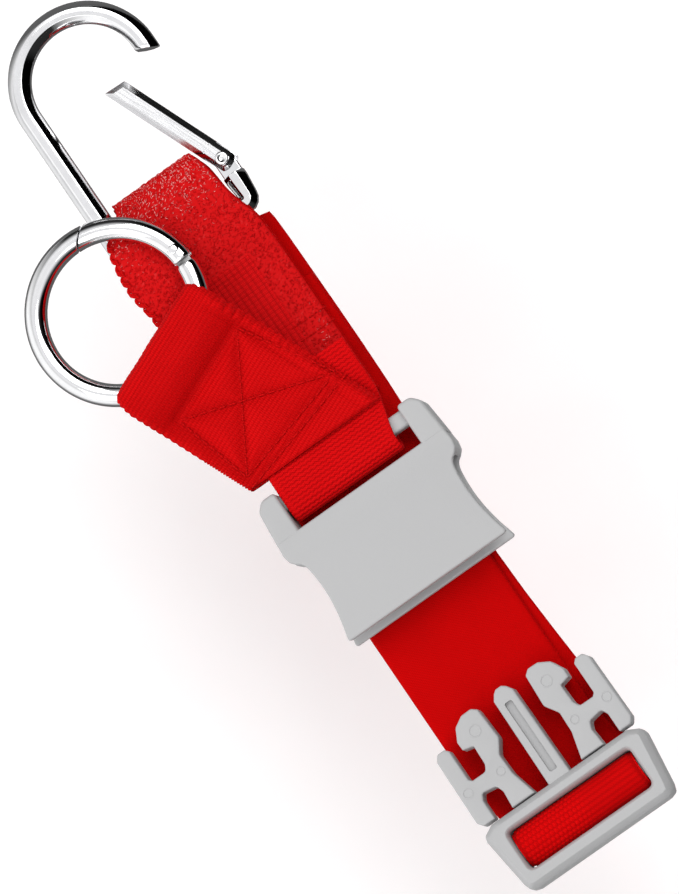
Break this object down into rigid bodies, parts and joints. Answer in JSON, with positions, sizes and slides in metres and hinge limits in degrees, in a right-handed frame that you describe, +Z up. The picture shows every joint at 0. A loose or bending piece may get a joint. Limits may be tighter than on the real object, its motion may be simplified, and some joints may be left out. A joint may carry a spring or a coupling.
{
  "type": "luggage strap",
  "caption": "Webbing loop with a gated hook, a side-release buckle and a sewn tab carrying a spring-gate ring, to hang a bag or jacket from luggage.",
  "frame": {"origin": "on the underside of the strap's lowest layer, where the strap rests on a table, 12 mm before the bar of the buckle's socket", "axes": "+X along the strap from the hook to the buckle's plug, +Z up out of the table, +Y across the strap towards the hook's gate"},
  "size_m": [0.2615, 0.0775, 0.0187],
  "materials": {
    "strap_webbing": "fine satin weave",
    "loop_pile": "napped loop pile",
    "hook_tape": "rows of small hooks",
    "tab_webbing": "soft ribbed webbing",
    "link_webbing": "coarse ribbed webbing",
    "thread": "polyester sewing thread",
    "chrome": "polished plating",
    "spring_steel": "drawn wire and turned pins",
    "grey_plastic": "fine moulded grain"
  },
  "bodies": {
    "strap": {"main_strap": "strap_webbing", "loop_pile": "loop_pile", "hook_patch": "hook_tape", "pile_edge_thread": "thread", "strap_tack_1": "thread", "strap_tack_2": "thread"},
    "hook": {"hook_body": "chrome", "hook_gate_pin": "spring_steel"},
    "hook_gate": {"hook_gate": "chrome", "hook_gate_plunger": "spring_steel", "hook_gate_spring": "spring_steel"},
    "plug": {"plug_frame": "grey_plastic"},
    "latch_arm_right": {"latch_arm_right": "grey_plastic"},
    "latch_arm_left": {"latch_arm_left": "grey_plastic"},
    "socket": {"buckle_socket": "grey_plastic"},
    "tab": {"ring_tab": "tab_webbing", "link_webbing": "link_webbing", "box_x_stitching": "thread"},
    "ring": {"ring_body": "chrome", "ring_gate_pin": "spring_steel"},
    "ring_gate": {"ring_gate": "chrome", "ring_gate_plunger": "spring_steel", "ring_gate_spring": "spring_steel"}
  },
  "joints": [
    {"name": "hook_swing", "type": "hinge", "parent": "strap", "child": "hook", "pos_m": [-0.058, 0.0028, 0.0049], "axis": [0, -1, 0], "range_deg": [0, 90]},
    {"name": "hook_gate_swing", "type": "hinge", "parent": "hook", "child": "hook_gate", "pos_m": [-0.071, 0.0206, 0.0049], "axis": [0, 0, -1], "range_deg": [0, 22], "stiffness_Nm_per_rad": 0.004, "springref_deg": 22},
    {"name": "plug_tilt", "type": "hinge", "parent": "strap", "child": "plug", "pos_m": [0.1215, 0.003, 0.0084], "axis": [0, 1, 0], "range_deg": [0, 60]},
    {"name": "latch_press_right", "type": "hinge", "parent": "plug", "child": "latch_arm_right", "pos_m": [0.111, 0.0138, 0.0091], "axis": [0, 0, 1], "range_deg": [-2.5, 4], "stiffness_Nm_per_rad": 0.02},
    {"name": "latch_press_left", "type": "hinge", "parent": "plug", "child": "latch_arm_left", "pos_m": [0.111, -0.0078, 0.0091], "axis": [0, 0, -1], "range_deg": [-2.5, 4], "stiffness_Nm_per_rad": 0.02},
    {"name": "buckle_close", "type": "slide", "parent": "plug", "child": "socket", "axis": [1, 0, 0], "range_m": [0, 0.058]},
    {"name": "tab_swing", "type": "hinge", "parent": "socket", "child": "tab", "pos_m": [0.0125, 0.003, 0.0097], "axis": [0, 1, 0], "range_deg": [0, 105]},
    {"name": "ring_turn", "type": "hinge", "parent": "tab", "child": "ring", "pos_m": [-0.0527, -0.0234, 0.0136], "axis": [0, 0, 1], "range_deg": [-8, 130]},
    {"name": "ring_gate_swing", "type": "hinge", "parent": "ring", "child": "ring_gate", "pos_m": [-0.05727, -0.00229, 0.0136], "axis": [0, 0, 1], "range_deg": [0, 25], "stiffness_Nm_per_rad": 0.004}
  ]
}
